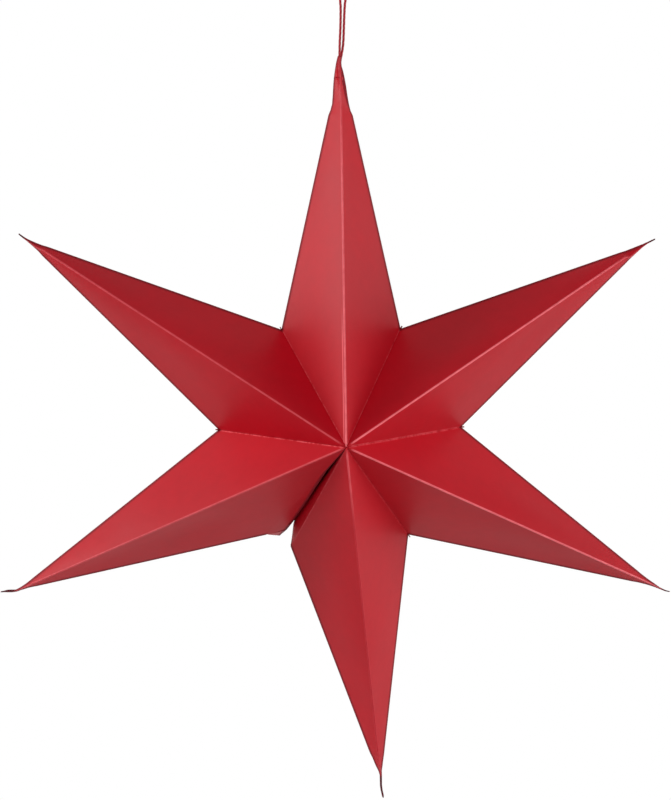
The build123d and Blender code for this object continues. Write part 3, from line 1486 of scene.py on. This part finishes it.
@dataclass
class CordKnot:
    """The knot of both cord ends inside the top point, drawn tight."""

    cord: HangingCord
    middle: Point = (-2.2, 0.0, -90.6)
    ring_radius: float = 1.3
    wrap_radius: float = 0.85
    half_height: float = 2.9
    turns: int = 2
    wraps: int = 3
    steps: int = 72
    line_resolution: int = 6
    bevel_resolution: int = 5

    def build(self) -> bpy.types.Object:
        """Builds the knot as one closed run of the cord, wound over itself.

        Returns:
            The new object.
        """
        places = []
        for step in range(self.steps):
            angle = math.tau * step / self.steps
            radius = self.ring_radius + self.wrap_radius * math.cos(self.wraps * angle)
            place = (
                self.middle[0] + radius * math.cos(self.turns * angle),
                self.middle[1] + radius * math.sin(self.turns * angle),
                self.middle[2] + self.half_height * math.sin(self.wraps * angle),
            )
            places.append((place[0] * MM, place[1] * MM, place[2] * MM))
        made = new_spline("knot_turns", places, order=4, closed=True)
        made.data.resolution_u = self.line_resolution
        made.data.bevel_depth = self.cord.diameter / 2 * MM
        made.data.bevel_resolution = self.bevel_resolution
        return made


# Studio


@dataclass(frozen=True)
class SoftLamp:
    """A large, soft studio lamp that looks at the star's centre."""

    name: str
    azimuth: float
    elevation: float
    power: float
    size: float = 1.2
    distance: float = 1.9

    def hang(self, centre: Vector) -> None:
        """Hangs the lamp.

        Args:
            centre: What the lamp looks at.
        """
        turn, rise = math.radians(self.azimuth), math.radians(self.elevation)
        flat = Vector((math.sin(turn), -math.cos(turn), 0)) * math.cos(rise)
        way = flat + Vector((0, 0, math.sin(rise)))
        data = bpy.data.lights.new(self.name, "AREA")
        data.shape = "SQUARE"
        data.size = self.size
        data.energy = self.power
        lamp = new_object(self.name, data)
        lamp.location = centre + way * self.distance
        lamp.rotation_euler = (-way).to_track_quat("-Z", "Y").to_euler()


@dataclass
class Studio:
    """Camera, lamps, floor, backdrop and surrounding light."""

    centre_height: float
    pixels_per_mm: float = 1.2402
    camera_distance: float = 1200.0
    tilt: float = 4.52
    turn: float = 2.58
    roll: float = 0.22
    sensor: float = 24.0
    clip: tuple[float, float] = (0.05, 30.0)
    centre_pixel: tuple[float, float] = (340.5, 435.0)
    floor_drop: float = 760.0
    fill: float = 0.15     # strength of the surroundings for rays that don't meet the eye

    def star_centre(self) -> Vector:
        """The middle of the star, in metres."""
        return Vector((0, 0, self.centre_height)) * MM

    def camera(self) -> None:
        """Sets the camera where the photograph was taken from."""
        towards = (
            Matrix.Rotation(math.radians(self.tilt), 3, "X")
            @ Matrix.Rotation(math.radians(self.turn), 3, "Z")
            @ Matrix.Rotation(math.radians(self.roll), 3, "Y")
        ).transposed()
        right, forward, up = towards.col
        across = (self.centre_pixel[0] - PICTURE_WIDTH / 2) / self.pixels_per_mm * MM
        rise = (PICTURE_HEIGHT / 2 - self.centre_pixel[1]) / self.pixels_per_mm * MM
        data = bpy.data.cameras.new("camera")
        data.sensor_fit = "VERTICAL"
        data.sensor_height = data.sensor_width = self.sensor
        data.lens = self.pixels_per_mm * self.camera_distance * self.sensor / PICTURE_HEIGHT
        data.clip_start, data.clip_end = self.clip
        view = new_object("camera", data)
        place = self.star_centre() - forward * (self.camera_distance * MM)
        turned = Matrix((right, up, -forward)).transposed().to_4x4()
        view.matrix_world = Matrix.Translation(place - right * across - up * rise) @ turned
        bpy.context.scene.camera = view

    def stage(self) -> None:
        """Floor and backdrop in one sweep of pale paint."""
        sweep = bmesh.new()
        floor = self.star_centre().z - self.floor_drop * MM
        front, bend_start, bend, steps, half_width, wall = -3.0, 1.6, 0.8, 12, 3.5, 4.0
        profile = [(front, floor), (bend_start, floor)]
        for step in range(1, steps + 1):
            angle = math.pi / 2 * step / steps
            rise = floor + bend * (1 - math.cos(angle))
            profile.append((bend_start + bend * math.sin(angle), rise))
        profile.append((bend_start + bend, floor + wall))
        sides = (-half_width, half_width)
        rows = [[sweep.verts.new((x, y, z)) for y, z in profile] for x in sides]
        for one, two, three, four in zip(rows[0], rows[1], rows[1][1:], rows[0][1:]):
            sweep.faces.new((one, two, three, four))
        bmesh.ops.recalc_face_normals(sweep, faces=sweep.faces)
        made = smooth_object("studio_sweep", sweep)
        made.data.materials.append(PalePaint().material())

    def world(self) -> None:
        """White surroundings to the eye and in reflections, soft fill for the rest."""
        world = bpy.data.worlds.new("studio_white")
        world.use_nodes = True
        bench = NodeBench(world.node_tree)
        strength = bench.white_to_the_eye() * (1.0 - self.fill) + self.fill
        sockets = {"Color": (1, 1, 1, 1), "Strength": strength}
        light = bench.node("ShaderNodeBackground", None, sockets)
        bench.end(light, "ShaderNodeOutputWorld")
        bpy.context.scene.world = world

    def lamps(self) -> list[SoftLamp]:
        """Chooses the lamps.

        Returns:
            The soft lamps round the star.
        """
        return [
            SoftLamp("lamp_left", -88, 18, 29.0),
            SoftLamp("lamp_right", 86, 2, 21.0),
            SoftLamp("lamp_front", 10, 30, 15.0),
        ]

    def build(self) -> None:
        """Builds the whole studio."""
        self.camera()
        self.stage()
        self.world()
        for lamp in self.lamps():
            lamp.hang(self.star_centre())
        bpy.context.scene.view_settings.view_transform = "Standard"


def stand_for(piece: bpy.types.Object, node: str, finish: bpy.types.Material) -> None:
    """Dresses a piece and puts it in the place of its CAD node.

    Args:
        piece: The piece.
        node: The CAD node that it replaces.
        finish: Its material.
    """
    piece.data.materials.append(finish)
    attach(piece, "root")
    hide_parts(node)
    LOG.info("piece %s stands for %s", piece.name, node)


def main() -> None:
    """Loads the frame, builds every piece on it and dresses the studio."""
    logging.basicConfig(level=logging.INFO, format="%(name)s: %(message)s")
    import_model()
    sizes = StarSizes()
    studio = Studio(sizes.centre_height)
    studio.build()

    thread = TwistedThread().material()
    cord = HangingCord()
    line = cord.line()
    strands = cord.build(line)
    knot = CordKnot(cord).build()
    stand_for(strands, "hanging_cord", thread)
    stand_for(knot, "cord_knot", thread)

    card = RedCard().material()
    for point in PaperRing(sizes).points():
        stand_for(point.build(), point.name.replace("sheet", "point"), card)


if __name__ == "__main__":
    main()
